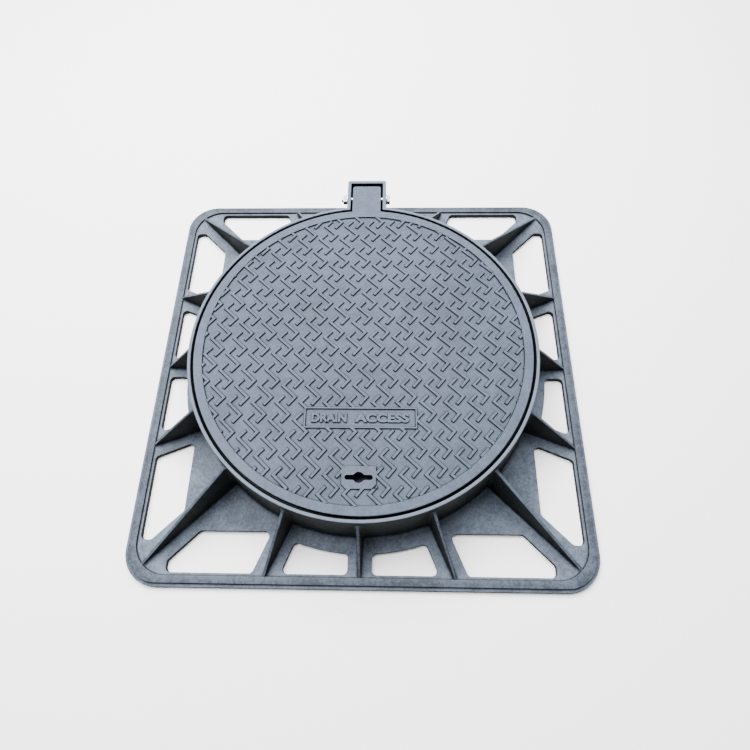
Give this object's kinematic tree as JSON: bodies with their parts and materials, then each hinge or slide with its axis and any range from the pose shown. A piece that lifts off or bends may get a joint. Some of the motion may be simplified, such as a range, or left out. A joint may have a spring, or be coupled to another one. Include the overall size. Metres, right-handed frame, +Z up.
{
  "type": "manhole cover",
  "caption": "Hinged round ductile iron manhole cover with a raised zigzag tread, in a square gusseted frame with windows in its base flange.",
  "frame": {"origin": "middle of the frame's underside, on the plane that it beds on", "axes": "+Z up to the road surface, hinge at the back towards +Y, keyway at the front towards -Y"},
  "size_m": [0.85, 0.85, 0.12],
  "materials": {
    "frame_iron": "blue-grey bitumen-type dip coat over a sand-cast skin, satin",
    "cover_iron": "blue-grey bitumen-type dip coat over a sand-cast skin, satin",
    "zinc_steel": "bright zinc plate",
    "seat_rubber": "matt black"
  },
  "bodies": {
    "frame": {"base_flange": "frame_iron", "ring_wall": "frame_iron", "seat_ledge": "frame_iron", "corner_webs": "frame_iron", "front_webs": "frame_iron", "right_webs": "frame_iron", "back_webs": "frame_iron", "left_webs": "frame_iron", "hinge_cheeks": "frame_iron", "hinge_back_wall": "frame_iron", "seating_ring": "seat_rubber", "hinge_bolt": "zinc_steel", "hinge_nut": "zinc_steel", "hinge_washers": "zinc_steel"},
    "cover": {"cover_plate": "cover_iron", "keyway_land": "cover_iron", "cover_skirt": "cover_iron", "cover_hub": "cover_iron", "cover_ribs": "cover_iron", "keyway_pocket": "cover_iron", "hinge_tongue": "cover_iron"}
  },
  "joints": [
    {"name": "cover_hinge", "type": "hinge", "parent": "frame", "child": "cover", "pos_m": [0, 0.363, 0.102], "axis": [-1, 0, 0], "range_deg": [0, 117]}
  ]
}
